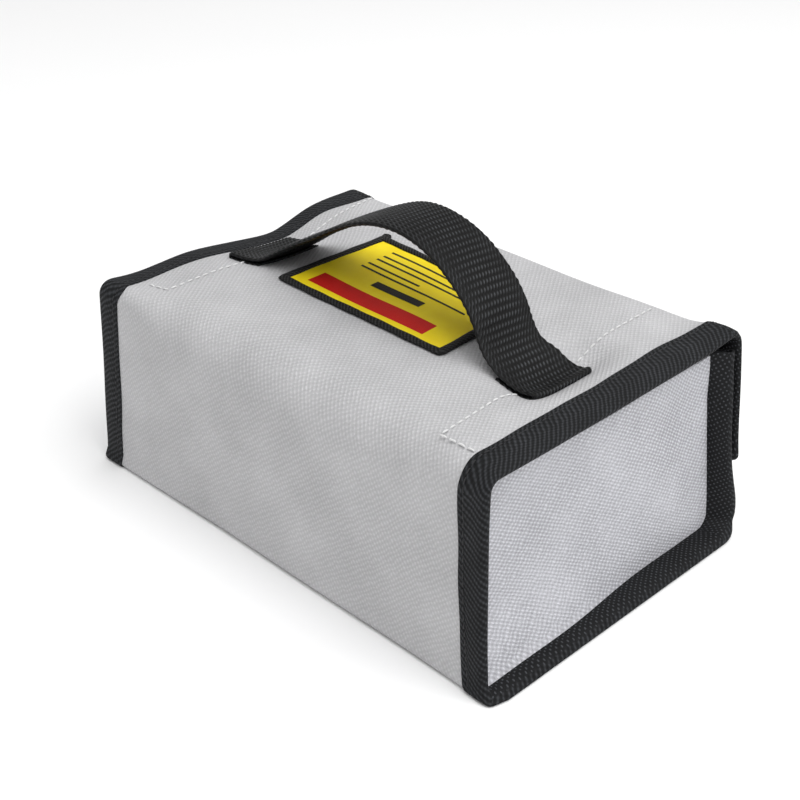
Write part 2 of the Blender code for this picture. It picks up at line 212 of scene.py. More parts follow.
def on_lid(targets, lift):
    """Points on the slumped lid, above given XY places. Lift is measured from the cloth's face."""
    flat = hardened(targets, TOP)
    level = TOP - CLOTH_DEPTH + np.broadcast_to(np.asarray(lift, float), flat.shape[:-1])
    return soften(np.concatenate([flat, level[..., None]], axis=-1))


def fold_radius(name, x):
    at_end, middle = FOLDS[name]
    round_off = 1 - np.abs(np.asarray(x) / END) ** 2.5
    if name == "rear_top":
        round_off = round_off * (1 - 0.9 * smooth(-50, -72, np.asarray(x)))
    return at_end + middle * round_off


def strip(xs):
    """Outer face of the strip: points and outward directions in the YZ plane, a row at a time from the
    mouth, down the front, round the bottom and rear, over the lid and down to the flap's hem.
    xs holds one x for each column, or one for each row and column."""
    corners = [(FRONT, MOUTH, None), (FRONT, 0, "front_bottom"), (REAR, 0, "rear_bottom")]
    corners += [(REAR, TOP, "rear_top"), (FLAP_FACE, TOP, "front_top"), (FLAP_FACE, HEM, None)]
    places = np.array([corner[:2] for corner in corners], float)
    spans = np.diff(places, axis=0)
    lengths, ahead = np.linalg.norm(spans, axis=1), unit(spans)
    outward = np.stack([-ahead[:, 1], ahead[:, 0]], -1)
    xs = np.asarray(xs, float)
    points, normals = [], []

    def radius(i):
        """Radius at corner i for each column of the next row."""
        row = xs if xs.ndim == 1 else xs[min(len(points), len(xs) - 1)]
        name = corners[i][2]
        return (fold_radius(name, row) if name else 0 * row)[:, None]

    def add(point, normal):
        points.append(point)
        normals.append(np.broadcast_to(normal, point.shape))

    for i, rows in enumerate(STRAIGHT_ROWS):
        for step in range(rows):
            free = lengths[i] - radius(i) - radius(i + 1)
            add(places[i] + (radius(i) + free * step / rows) * ahead[i], outward[i])
        if i + 1 == len(STRAIGHT_ROWS):
            add(places[-1] + 0 * radius(i), outward[i])
            break
        for angle in np.arange(FOLD_ROWS) * math.pi / 2 / FOLD_ROWS:
            normal = outward[i] * math.cos(angle) + outward[i + 1] * math.sin(angle)
            add(places[i + 1] + radius(i + 1) * (ahead[i + 1] - ahead[i] + normal), normal)
    return np.array(points), np.array(normals)


# Row numbers where the strip is split into pieces that move apart
BOTTOM_START = STRAIGHT_ROWS[0] + FOLD_ROWS
REAR_START = BOTTOM_START + STRAIGHT_ROWS[1] + FOLD_ROWS
LID_START = REAR_START + STRAIGHT_ROWS[2] + FOLD_ROWS
LID_END = LID_START + STRAIGHT_ROWS[3]
HEM_ROW = LID_END + FOLD_ROWS + STRAIGHT_ROWS[4]
LID_MIDDLE = ((LID_START + LID_END) // 2, 25)
WALL_ROWS = slice(0, BOTTOM_START + 1)
WALL_CLOTH_ROWS = slice(1, BOTTOM_START + 1)
BACK_ROWS = slice(BOTTOM_START, LID_END + 1)
FLAP_CLOTH_ROWS = slice(LID_END, HEM_ROW)


def at_least(value, limit):
    """Keep a value above a limit, with a small remainder so that points never coincide."""
    return np.where(value < limit, limit + 0.05 * (value - limit), value)


def skin(xs, depth):
    """Slumped strip surface at a depth below its outer face, as rows by columns by xyz."""
    points, normals = strip(xs)
    depth = np.broadcast_to(depth, points.shape[:2])[..., None]
    moved = points - normals * depth
    body = slice(0, REAR_START + STRAIGHT_ROWS[2])
    moved[body, :, :1] = at_least(moved[body, :, :1], REAR + depth[body])
    moved[body, :, 1:] = at_least(moved[body, :, 1:], depth[body])
    x = np.broadcast_to(xs, moved.shape[:2])[..., None]
    return soften(np.concatenate([x, moved], axis=-1))


def flap_point(x, rise, depth):
    """Slumped point on the flap and its top fold, by its height above the hem along the cloth."""
    r = fold_radius("front_top", x)
    arc = r * math.pi / 2
    below = TOP - r - HEM
    t = below + arc - rise
    angle = np.clip(t / r, 0, math.pi / 2)
    reach = r - depth
    y = FLAP_FACE - r + reach * np.sin(angle)
    z = TOP - r + reach * np.cos(angle) - np.clip(t - arc, 0, None)
    return soften(np.stack(np.broadcast_arrays(x, y, z), axis=-1))


def flap_height(x):
    r = fold_radius("front_top", x)
    return TOP - r - HEM + r * math.pi / 2


# Meshes


def grid_normals(points, at, axis, sign=1):
    """Normals of a grid, all turned over if need be, so that the one at a place faces along an axis."""
    normals = unit(np.cross(np.gradient(points, axis=1), np.gradient(points, axis=0)))
    return normals if normals[at][axis] * sign > 0 else -normals


def lengths_along(points, axis):
    """Distance run along one axis of a grid of points, starting at 0."""
    steps = np.linalg.norm(np.diff(points, axis=axis), axis=-1)
    start = np.zeros_like(np.take(steps, [0], axis=axis))
    return np.concatenate([start, np.cumsum(steps, axis=axis)], axis=axis)


def add_object(name, data):
    obj = bpy.data.objects.new(name, data)
    bpy.context.scene.collection.objects.link(obj)
    return obj


def read_between(at, run, rows):
    """Rows of numbers, known at the distances of run, read at others."""
    return np.stack([np.interp(at, run, column) for column in rows.T], -1)


def new_object(name, verts, faces, uvs, material):
    """Mesh object from millimetre points, with a UV in millimetres for each face corner."""
    mesh = bpy.data.meshes.new(name)
    mesh.from_pydata((np.asarray(verts) * MM).tolist(), [], faces)
    layer = mesh.uv_layers.new(name="UVMap")
    layer.data.foreach_set("uv", np.asarray(uvs, np.float32).ravel())
    mesh.materials.append(material)
    return add_object(name, mesh)


def sheet_solid(name, outer, normals, thickness, uv, material):
    """Closed sheet of cloth below an outer grid. Normals are kept, so that split pieces shade as one."""
    rows, columns = outer.shape[:2]
    count = rows * columns
    index = np.arange(count).reshape(rows, columns)
    quads = np.stack([index[:-1, :-1], index[1:, :-1], index[1:, 1:], index[:-1, 1:]], -1).reshape(-1, 4)
    rim = np.concatenate([index[0, :-1], index[:-1, -1], index[-1, :0:-1], index[:0:-1, 0]])
    ahead = np.roll(rim, -1)
    walls = np.stack([rim, ahead, ahead + count, rim + count], -1)
    faces = np.concatenate([quads, quads[:, ::-1] + count, walls])
    flat, up = outer.reshape(-1, 3), normals.reshape(-1, 3)
    a, b, c = flat[quads[0, :3]]
    if np.cross(b - a, c - b) @ up[quads[0, 0]] < 0:
        faces = faces[:, ::-1]
    corners = faces.ravel()
    verts = np.concatenate([flat, flat - up * thickness])
    obj = new_object(name, verts, faces.tolist(), uv.reshape(-1, 2)[corners % count], material)
    mesh = obj.data
    mesh.shade_smooth()
    corner_normals = np.concatenate([up, -up])[corners]
    for polygon in mesh.polygons[2 * len(quads) :]:
        corner_normals[polygon.loop_start : polygon.loop_start + 4] = polygon.normal
    mesh.normals_split_custom_set(corner_normals.tolist())
    return obj


def swept_faces(rows, around, loop=False):
    """Faces of a closed solid whose points come ring after ring: walls first, then its two ends."""
    index = np.arange(rows * around).reshape(rows, around)
    beside = np.roll(index, -1, axis=1)
    near = np.arange(rows if loop else rows - 1)
    far = (near + 1) % rows
    walls = np.stack([index[near], beside[near], beside[far], index[far]], -1).reshape(-1, 4).tolist()
    return walls if loop else walls + [index[0, ::-1].tolist(), index[-1].tolist()]


def tube(name, rings, material, sharp=40, loop=False, uv=None):
    """Closed solid swept through rings of points, shaded smooth except at sharp angles. Its UVs are the
    distances run round and along it, unless uv gives those, with one more round than a ring has points."""
    rings = np.asarray(rings)
    rows, around = rings.shape[:2]
    faces = swept_faces(rows, around, loop)
    if uv:
        u, v = uv
    else:
        centre = rings.mean(axis=1)
        u = lengths_along(np.concatenate([rings, rings[:, :1]], axis=1), 1).mean(axis=0)
        v = lengths_along(np.concatenate([centre, centre[:1]]) if loop else centre, 0)
    corner_u = np.stack([u[:-1], u[1:], u[1:], u[:-1]], -1)[None]
    corner_v = np.stack([v[:-1], v[:-1], v[1:], v[1:]], -1)[:, None]
    uvs = np.stack(np.broadcast_arrays(corner_u, corner_v), -1).reshape(-1, 2)
    if not loop:
        ends = np.stack([np.tile(u[:-1], 2), np.repeat([v[0], v[-1]], around)], -1)
        uvs = np.concatenate([uvs, ends])
    if ring_volume(rings, loop) < 0:
        faces = [face[::-1] for face in faces]
        starts = np.cumsum([0] + [len(face) for face in faces])
        uvs = np.concatenate([uvs[start:end][::-1] for start, end in zip(starts, starts[1:])])
    obj = new_object(name, rings.reshape(-1, 3), faces, uvs, material)
    obj.data.shade_smooth()
    obj.data.set_sharp_from_angle(angle=math.radians(sharp))
    return obj


def ring_volume(rings, loop):
    """Signed size of a swept solid, which says which way its faces point."""
    rings = rings - rings.mean(axis=(0, 1))
    near = rings if loop else rings[:-1]
    far = np.roll(rings, -1, axis=0) if loop else rings[1:]
    near_beside, far_beside = np.roll(near, -1, axis=1), np.roll(far, -1, axis=1)
    return np.sum(near * (np.cross(near_beside, far_beside) + np.cross(far_beside, far)))


def joined_threads(name, threads, material):
    """One object from short threads, each a closed solid given as rings of points."""
    count, rows, around = threads.shape[:3]
    one = swept_faces(rows, around)
    faces = [[n * rows * around + i for i in face] for n in range(count) for face in one]
    verts = threads.reshape(-1, 3)
    uvs = verts[[i for face in faces for i in face]][:, :2]
    obj = new_object(name, verts, faces, uvs, material)
    obj.data.shade_smooth()
    return obj


# Threads


def along_line(points, normals, distances):
    """Places, directions and surface normals at distances along a line of points."""
    run = lengths_along(points, 0)
    ahead, behind = (read_between(distances + shift, run, points) for shift in (0.2, -0.2))
    place, normal = (read_between(distances, run, rows) for rows in (points, normals))
    return place, unit(ahead - behind), unit(normal)


# A stitch along its length, from -1 to 1, and how far it has risen out of the cloth there, from 0 to 1
STITCH_STATIONS = np.array([-1.0, -0.72, -0.3, 0.3, 0.72, 1.0])
STITCH_ARCH = np.sqrt(1 - STITCH_STATIONS**4)
STITCH_SIDES = 6
STITCH_SHARE = 0.74


def stitch_row(name, points, normals, material, pitch=2.6, width=0.42, skip=None):
    """Row of sewn stitches: short threads that rise out of the cloth and dive back in."""
    total = lengths_along(points, 0)[-1]
    number = max(1, int(total / pitch))
    rng = np.random.default_rng(len(name))
    angle = 2 * math.pi * np.arange(STITCH_SIDES) / STITCH_SIDES
    radius = width / 2 * (0.45 + 0.55 * STITCH_ARCH)
    sideways = radius[:, None] * np.cos(angle)
    upwards = 0.8 * radius[:, None] * np.sin(angle) + width * (0.42 * STITCH_ARCH - 0.3)[:, None]
    threads = []
    for i in range(number):
        middle = (i + 0.5) * total / number
        stations = middle + STITCH_STATIONS * pitch * STITCH_SHARE / 2
        place, direction, up = along_line(points, normals, stations)
        if skip and skip(place[0]):
            continue
        side = np.cross(direction, up)
        slant = sideways + rng.uniform(-0.12, 0.12) * STITCH_STATIONS[:, None]
        threads.append(place[:, None] + side[:, None] * slant[..., None] + up[:, None] * upwards[..., None])
    return joined_threads(name, np.array(threads), material)


def polyline(points, spacing=0.8):
    """Points every so often along straight runs between given points."""
    points = np.asarray(points, float)
    run = lengths_along(points, 0)
    at = np.linspace(0, run[-1], max(2, int(run[-1] / spacing)))
    return read_between(at, run, points)


def catmull(points, steps):
    """Smooth curve through the points."""
    knots = np.asarray(points, float)
    knots = np.concatenate([[2 * knots[0] - knots[1]], knots, [2 * knots[-1] - knots[-2]]])
    curve = []
    for a, b, c, d in zip(knots, knots[1:], knots[2:], knots[3:]):
        for step in range(steps):
            t = step / steps
            bend = (2 * a - 5 * b + 4 * c - d) * t * t + (3 * b - a - 3 * c + d) * t**3
            curve.append((2 * b + (c - a) * t + bend) / 2)
    curve.append(knots[-2])
    return np.array(curve)


# Materials


class Value:
    """What a shader node gives. It adds and multiplies like a number."""

    def __init__(self, shader, socket):
        self.shader = shader
        self.socket = socket

    def __add__(self, other):
        return self.shader.math("ADD", self, other)

    def __mul__(self, other):
        return self.shader.math("MULTIPLY", self, other)

    def __sub__(self, number):
        return self + -number

    __rmul__ = __mul__


class Shader:
    """A Principled material whose nodes are added a line at a time."""

    def __init__(self, name):
        self.material = bpy.data.materials.new(name)
        self.material.use_nodes = True
        self.tree = self.material.node_tree
        self.principled = self.tree.nodes["Principled BSDF"]

    def link(self, socket, value):
        if isinstance(value, Value):
            self.tree.links.new(value.socket, socket)
        else:
            socket.default_value = value

    def node(self, kind, inputs=None, **settings):
        made = self.tree.nodes.new(kind)
        for key, value in settings.items():
            setattr(made, key, value)
        for key, value in (inputs or {}).items():
            self.link(made.inputs[key], value)
        return made

    def value(self, kind, inputs=None, **settings):
        return Value(self, self.node(kind, inputs, **settings).outputs[0])

    def math(self, operation, *values):
        return self.value("ShaderNodeMath", dict(enumerate(values)), operation=operation)

    def coordinates(self):
        """UV of the cloth in millimetres, whole and as U and V."""
        uv = self.value("ShaderNodeUVMap", uv_map="UVMap")
        split = self.node("ShaderNodeSeparateXYZ", {0: uv})
        return uv, Value(self, split.outputs[0]), Value(self, split.outputs[1])

    def wave(self, u, v, fu, fv):
        """Cosine wave across the cloth, with so many waves in a millimetre along U and V."""
        return self.math("COSINE", u * (2 * math.pi * fu) + v * (2 * math.pi * fv))

    def noise(self, vector, scale, detail=2.0, roughness=0.5):
        """Noise from 0 to 1, with so many patches in a millimetre."""
        inputs = {"Vector": vector, "Scale": scale, "Detail": detail, "Roughness": roughness}
        return self.value("ShaderNodeTexNoise", inputs)

    def ramp(self, value, stops):
        made = self.node("ShaderNodeValToRGB", {0: value})
        elements = made.color_ramp.elements
        while len(elements) < len(stops):
            elements.new(1.0)
        for element, (position, color) in zip(elements, stops):
            element.position = position
            element.color = (*color, 1.0)
        return Value(self, made.outputs[0])

    def step_between(self, value, low, high):
        """0 at low and 1 at high, rounded off at both."""
        inputs = {0: value, 1: low, 2: high}
        return self.value("ShaderNodeMapRange", inputs, interpolation_type="SMOOTHSTEP")

    def spread(self, value, low, high):
        """Map -1..1 onto low..high."""
        return value * ((high - low) / 2) + (high + low) / 2

    def bump(self, height, distance):
        return self.value("ShaderNodeBump", {"Height": height, "Distance": distance * MM, "Strength": 1.0})

    def finish(self, **inputs):
        for key, value in inputs.items():
            self.link(self.principled.inputs[key.replace("_", " ")], value)
        return self.material


def grey(value, tint=(1.0, 1.0, 1.0)):
    return tuple(value * t for t in tint)


def coated_cloth(name, low, high, tint, waves, contrast, relief):
    """Silver-coated glass cloth. Where two slanted waves meet, a yarn comes up as a raised speck painted
    with a bright glint, and the grooves between are painted darker as shade.
    """
    shader = Shader(name)
    uv, u, v = shader.coordinates()
    wobble = shader.noise(uv, 0.35) - 0.5
    bent_u = wobble * 1.6 + u
    bent_v = wobble * -1.6 + v
    first, second = (shader.wave(bent_u, bent_v, *wave) for wave in waves)
    grain = shader.noise(uv, 2.4, 3.0, 0.65) * 2.0 - 1.0
    meeting = (first + second + grain) * 0.5
    speck = shader.step_between(meeting, 0.1, 0.95) * shader.spread(shader.noise(uv, 0.5), 0.2, 1.8)
    groove = shader.step_between(meeting, -0.1, -0.95)
    cloud = shader.noise(uv, 0.035, 3.0, 0.55) * 0.8 - 0.4
    # Painted light: the specks add painted glints and the grooves add painted shade on top of the cloth's
    # random tone.
    tone = cloud + 0.45 + contrast * (grain * 0.3 + speck + groove * -0.6)
    color = shader.ramp(tone, [(0.0, grey(low, tint)), (1.0, grey(high, tint))])
    rough = shader.spread(grain, 0.62, 0.48)
    normal = shader.bump(grain * 0.25 + speck + groove * -0.7, relief)
    return shader.finish(Base_Color=color, Roughness=rough, Normal=normal, Specular_IOR_Level=0.4)


def black_tape(name, tint=(0.94, 1.0, 1.12), scale=1.0):
    """Narrow woven tape: slanted ribs outside, and small shining crossings where it turns inwards."""
    shader = Shader(name)
    uv, u, v = shader.coordinates()
    bent_v = shader.noise(uv, 0.4) + v - 0.5
    ribs = shader.wave(u, bent_v, 0.42 * scale, 0.52 * scale)
    yarns = shader.wave(u, v, 0.9 * scale, -0.35 * scale)
    crossing = (shader.wave(u, v, 0.62, 0.38) + shader.wave(u, bent_v, -0.38, 0.62)) * 0.5
    crossing = shader.step_between(crossing, 0.35, 0.9) * shader.spread(shader.noise(uv, 0.5), -0.3, 1.8)
    grain = shader.noise(uv, 2.2, 3.0, 0.6) * 2.0 - 1.0
    inside = shader.step_between(u, TAPE_BEND_U - 0.6, TAPE_BEND_U + 0.4)
    outer = (yarns * 0.35 + ribs) * (inside * -1.0 + 1.0)
    dots = crossing * inside
    cloud = shader.noise(uv, 0.08, 3.0) * 0.4 - 0.2
    tone = inside * -0.22 + 0.45 + outer * 0.26 + dots * 0.95 + grain * 0.2 + cloud
    color = shader.ramp(tone, [(0.0, grey(0.003, tint)), (0.5, grey(0.010, tint)), (1.0, grey(0.05, tint))])
    height = outer * 0.6 + dots + grain * 0.4
    rough = shader.spread(height, 0.85, 0.6)
    normal = shader.bump(height, 0.12)
    return shader.finish(Base_Color=color, Roughness=rough, Normal=normal, Specular_IOR_Level=0.2)


def black_webbing(name):
    """Heavy webbing whose weave is in the mesh; the nodes paint shade into its holes and highlights onto
    its ribs.
    """
    shader = Shader(name)
    uv, u, v = shader.coordinates()
    fibres = shader.noise(uv, 2.6, 3.0, 0.65) * 2.0 - 1.0
    tone = shader.noise(uv, 0.1) * 0.4 + 0.1 + fibres * 0.2
    # Painted light: the weave's waves darken the holes as painted shade and brighten the ribs as painted
    # highlights, up to the lit colour.
    for along, across, weight in WEAVE_WAVES:
        tone = tone + shader.wave(u, v, across, along) * (0.75 * weight)
    lit = grey(0.06, (0.94, 1.0, 1.08))
    color = shader.ramp(tone, [(0.0, grey(0.0005)), (0.5, grey(0.003)), (1.0, lit)])
    rough = shader.spread(fibres, 0.6, 0.4)
    normal = shader.bump(fibres, 0.06)
    return shader.finish(Base_Color=color, Roughness=rough, Normal=normal, Specular_IOR_Level=0.18)


def fuzzy_strip(name, patches, roughness):
    """Hook side or loop side of the closure, with so many patches of pile in a millimetre."""
    shader = Shader(name)
    fuzz = shader.noise(shader.coordinates()[0], patches, 4.0, 0.7)
    color = shader.ramp(fuzz, [(0.25, grey(0.006)), (0.75, grey(0.04))])
    return shader.finish(Base_Color=color, Roughness=roughness, Normal=shader.bump(fuzz, 0.3))


def label_satin(name, base, deep):
    """Printed satin label: fine ribs across it and a soft sheen."""
    shader = Shader(name)
    uv, u, v = shader.coordinates()
    fine = shader.wave(u, v, 0.0, 2.6) * 0.5 + shader.wave(u, v, 2.1, 0.0)
    tone = fine * 0.05 + shader.noise(uv, 0.07, 3.0, 0.6)
    color = shader.ramp(tone, [(0.3, deep), (0.7, base)])
    rough = shader.spread(fine, 0.6, 0.5)
    normal = shader.bump(fine, 0.03)
    return shader.finish(Base_Color=color, Roughness=rough, Normal=normal, Specular_IOR_Level=0.15)


def thread(name, color):
    """Twisted thread, darker between its strands."""
    shader = Shader(name)
    _, u, v = shader.coordinates()
    twist = shader.wave(u, v, 2.5, 2.5)
    shade = shader.ramp(shader.spread(twist, 0.0, 1.0), [(0.0, grey(0.75, color)), (1.0, color)])
    return shader.finish(Base_Color=shade, Roughness=0.6, Normal=shader.bump(twist, 0.05))


def floor_paint():
    shader = Shader("pale_floor")
    cloud = shader.noise(shader.coordinates()[0], 0.004, 3.0)
    color = shader.ramp(cloud, [(0.0, grey(0.92)), (1.0, grey(0.96))])
    return shader.finish(Base_Color=color, Roughness=0.8)


# Waves of the weaves: how many to a millimetre along U and V, or along and across the webbing with
# the share of each
LID_WAVES = [(0.62, 0.42), (-0.42, 0.54)]
PANEL_WAVES = [(0.46, 0.84), (0.44, -0.36)]
WEAVE_WAVES = [(0.44, 0.66, 0.5), (0.0, 0.7, 0.25), (0.44, 0.0, 0.25)]

silver = coated_cloth("silver_cloth", 0.34, 0.60, (0.985, 0.98, 1.0), LID_WAVES, 0.26, 0.11)
panel_silver = coated_cloth("end_cloth", 0.28, 0.66, (0.965, 0.965, 1.03), PANEL_WAVES, 0.5, 0.12)
lining_silver = coated_cloth("lining_cloth", 0.36, 0.54, (0.99, 0.99, 1.0), PANEL_WAVES, 0.2, 0.06)
tape_black = black_tape("black_tape")
cord_black = black_tape("label_tape", (1.0, 1.0, 1.0), 1.4)
webbing_black = black_webbing("black_webbing")
loops_black = fuzzy_strip("loop_pile", 1.4, 0.9)
hooks_black = fuzzy_strip("hook_pile", 3.0, 0.55)
label_yellow = label_satin("label_yellow", (0.95, 0.76, 0.02), (0.88, 0.66, 0.012))
print_red = label_satin("print_red", (0.58, 0.014, 0.010), (0.48, 0.010, 0.008))
print_black = label_satin("print_black", (0.022, 0.018, 0.012), (0.014, 0.012, 0.010))
thread_white = thread("thread_white", (0.88, 0.88, 0.88))
thread_black = thread("thread_black", (0.020, 0.020, 0.022))


# Cloth strip


def strip_uv(points, xs):
    """Cloth coordinates: x across, and the distance run along the strip from the middle of the lid."""
    run = lengths_along(points, 0)
    run = run - run[LID_MIDDLE[0]]
    return np.stack([np.broadcast_to(xs, run.shape), run], -1)


def lid_blend(piece):
    """Bake the placement of a piece that crosses the lid hinge into its points."""
    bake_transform(piece)


def flap_blend(piece):
    """Bake the placement of a piece that crosses the fold between the lid and its hanging flap into its
    points.
    """
    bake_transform(piece)


def make_strip_cloth():
    xs = np.linspace(-END + CLOTH_INSET, END - CLOTH_INSET, CLOTH_COLUMNS)
    outer = skin(xs, CLOTH_DEPTH)
    normals = grid_normals(outer, LID_MIDDLE, 2)
    uv = strip_uv(outer, xs)
    pieces = []
    parts = {"front_wall_cloth": WALL_CLOTH_ROWS, "bag_cloth": BACK_ROWS, "flap_cloth": FLAP_CLOTH_ROWS}
    for name, rows in parts.items():
        piece = sheet_solid(name, outer[rows], normals[rows], CLOTH, uv[rows], silver)
        pieces.append(piece)
    wall, back, flap = pieces
    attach(wall, "bag_body")
    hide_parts("outer_shell")
    lid_blend(back)
    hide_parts("outer_shell", "lid_panel")
    flap_blend(flap)
    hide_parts("flap_panel", "lid_panel")


def make_lining():
    """Plain inner cloth: one strip under the lid, down the rear and along the bottom, and three walls."""
    reach = PANEL_X - CLOTH - LINING_GAP
    xs = np.linspace(-reach, reach, 50)
    outer = skin(xs, LINING_DEPTH)
    normals = grid_normals(outer, LID_MIDDLE, 2)
    uv = strip_uv(outer, xs)
    back, front = (
        sheet_solid("lining_" + word, outer[rows], normals[rows], CLOTH, uv[rows], lining_silver)
        for word, rows in (("back", slice(BOTTOM_START, LID_END - 1)), ("front", WALL_ROWS))
    )
    lid_blend(back)
    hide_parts("body_lining", "lid_lining")
    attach(front, "bag_body")
    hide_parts("body_lining")
    for side, word in SIDES:
        wall = make_end_sheet("lining_end_" + word, side, reach, -side, LINING_MARGIN, lining_silver)
        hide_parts("body_lining")


def make_end_sheet(name, side, level_x, facing, margin, material):
    """Upright cloth across one end, cut away at the rear top where the lid's fold passes."""
    z, share = np.meshgrid(np.linspace(margin, PANEL_TOP, 30), np.linspace(0, 1, 44), indexing="ij")
    low = REAR + margin + 0.3 + 2.5 * smooth(56, PANEL_TOP, z)
    high = FRONT - margin - 0.3
    y = low + (high - low) * share
    puff = 0.5 * np.sin(math.pi * (y - REAR) / (FRONT - REAR)) * np.sin(math.pi * z / PANEL_TOP)
    puff = puff + 0.25 * np.sin(y / 9 + z / 13)
    sunk = 1.2 * smooth(PANEL_TOP, PANEL_TOP - 16, z)
    pushed = 4.0 * smooth(22, 0, z) * smooth(48, -50, y)
    x = side * (level_x - puff - sunk + pushed)
    outer = soften(np.stack([x, y, z], -1))
    normals = grid_normals(outer, (15, 22), 0, facing)
    piece = sheet_solid(name, outer, normals, CLOTH, np.stack([side * y, z], -1), material)
    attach(piece, "bag_body")
    return piece


def make_end_panels():
    width, height = FRONT - REAR - PANEL_TRIM[0], PANEL_TOP - PANEL_TRIM[1]
    for side, word in SIDES:
        piece = make_end_sheet("end_cloth_" + word, side, PANEL_X, side, PANEL_TRIM[1], panel_silver)
        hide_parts("end_panel_" + word)
        width * MM
        height * MM


# Binding tape

# Outer leg of the folded tape, from its sewn edge to the bend: distance in from the bend, and depth.
# It dips under the seam, and only what lies beyond SEWN_EDGE wanders.
OUTER_LEG = [
    *[(11.0, 0.5), (11.0, 0.12), (10.7, -0.06), (9.4, -0.12), (8.9, 0.06), (8.4, -0.12)],
    *[(5.0, -0.2), (2.4, -0.14), (1.1, 0.04), (0.35, 0.5), (0.0, 1.1)],
]
SEAM_INSET = 8.9
SEWN_EDGE = 8.0


def tape_section(leg, reach):
    """Folded tape as a ring of (distance in from the bend, depth), for a leg depth and inner reach."""
    bend = [(-0.04, leg / 2), (0.0, leg - 1.0), (0.4, leg - 0.36), (1.1, leg - 0.02)]
    inner = [(reach * 0.55, leg + 0.06), (reach - 0.25, leg), (reach, leg - 0.14), (reach, leg - TAPE)]
    inside = [(1.2, leg - TAPE), (0.65, leg - 0.95), (0.58, leg / 2), (0.65, 1.0), (1.3, 0.52)]
    return np.array(OUTER_LEG + bend + inner + inside)


def edge_wander(distance, phase):
    """Slight unevenness of a hand-fed tape edge."""
    return 0.22 * np.sin(distance / 9.0 + phase) + 0.12 * np.sin(distance / 3.7 + 2 * phase)


def end_tape_change(side, row):
    """What the outer leg of an end's tape gains in width from row to row."""
    narrow = 1.8 * (1 - smooth(REAR_START, REAR_START + 14, row))
    narrow = narrow + 1.2 * (1 - smooth(REAR_START + 14, LID_START - 3, row))
    before_flap = 1 - smooth(LID_END - 9, LID_END, row)
    if side > 0:
        return 1.1 * smooth(LID_START, LID_END, row) * before_flap - narrow
    return -2.6 * smooth(LID_START - 6, LID_START + 6, row) * before_flap - 0.5 * narrow


def make_end_tape(side, word):
    """Tape round one end: front wall, and in one go the bottom, rear and lid."""
    row = np.arange(HEM_ROW + 1)
    leg = BODY_LEG + (LID_LEG - BODY_LEG) * smooth(REAR_START, LID_START, row)
    leg = leg + (FLAP_LEG - leg) * smooth(LID_END - 12, LID_END, row)
    reach = RECESS + (TAPE_WIDTH - RECESS) * smooth(LID_START - 5, LID_START, row)
    inward, depth = np.moveaxis([tape_section(a, b) for a, b in zip(leg, reach)], -1, 0)
    change = end_tape_change(side, row)
    wander = (edge_wander(row * 2.6, side) + change)[:, None] * (inward > SEWN_EDGE)
    points = skin(side * (END - inward - wander), depth)
    points[0, :, 2] += 2.5
    wall = tube("front_tape_" + word, points[WALL_ROWS], tape_black)
    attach(wall, "bag_body")
    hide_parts("end_binding_" + word)
    back = tube("end_tape_" + word, points[BACK_ROWS], tape_black)
    lid_blend(back)
    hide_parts("end_binding_" + word, "lid_binding_" + word)
    seam_x = side * (END - SEAM_INSET - change)[:, None]
    line = skin(seam_x, -0.05)[:, 0]
    normals = unit(skin(seam_x, -0.5) - skin(seam_x, 0.5))[:, 0]
    seam = stitch_row("end_seam_" + word, line[BACK_ROWS], normals[BACK_ROWS], thread_black)
    lid_blend(seam)
    wall_seam = stitch_row("front_seam_" + word, line[WALL_ROWS], normals[WALL_ROWS], thread_black)
    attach(wall_seam, "bag_body")


def hem_paths():
    """Outer edge of the flap's tape and the line it reaches inwards to, as (x, rise) points."""
    radius = FLAP_CORNER
    centre_x = END - radius
    side = [(END, rise) for rise in np.linspace(flap_height(END), radius, 26)]
    turn = np.linspace(0, math.pi / 2, 9)[1:]
    arc = [(centre_x + radius * math.cos(a), radius - radius * math.sin(a)) for a in turn]
    bottom = [(x, 0.0) for x in np.linspace(centre_x, 0, 30)[1:]]
    half = np.array(side + arc + bottom)
    outer = np.concatenate([half, half[-2::-1] * (-1, 1)])
    inner_x = np.sign(outer[:, 0]) * np.minimum(np.abs(outer[:, 0]), END - TAPE_WIDTH)
    inner = np.stack([inner_x, np.maximum(outer[:, 1], TAPE_WIDTH)], -1)
    return outer, inner


def stretch_rise(x, rise):
    """Keep rises level with the strip's rows, whose fold is rounder towards the middle."""
    above = np.clip(rise - TAPE_WIDTH, 0, None)
    return rise + above * ((flap_height(x) - TAPE_WIDTH) / (flap_height(END) - TAPE_WIDTH) - 1)


def make_flap_tape():
    outer, inner = hem_paths()
    below_top = outer[:, 1] < flap_height(END) - 0.1
    inward, depth = tape_section(FLAP_LEG, TAPE_WIDTH).T
    wander = (edge_wander(lengths_along(outer, 0), 1.7) * below_top)[:, None] * (inward > SEWN_EDGE)
    share = ((inward + wander) / TAPE_WIDTH)[..., None]
    x, rise = np.moveaxis(outer[:, None] + (inner - outer)[:, None] * share, -1, 0)
    piece = tube("flap_tape", flap_point(x, stretch_rise(x, rise), depth), tape_black)
    flap_blend(piece)
    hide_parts("flap_binding")
    x, rise = (outer + (inner - outer) * SEAM_INSET / TAPE_WIDTH).T
    low, high = (flap_point(x, stretch_rise(x, rise), depth) for depth in (0.5, -0.05))
    seam = stitch_row("flap_seam", high, unit(high - low), thread_black)
    flap_blend(seam)


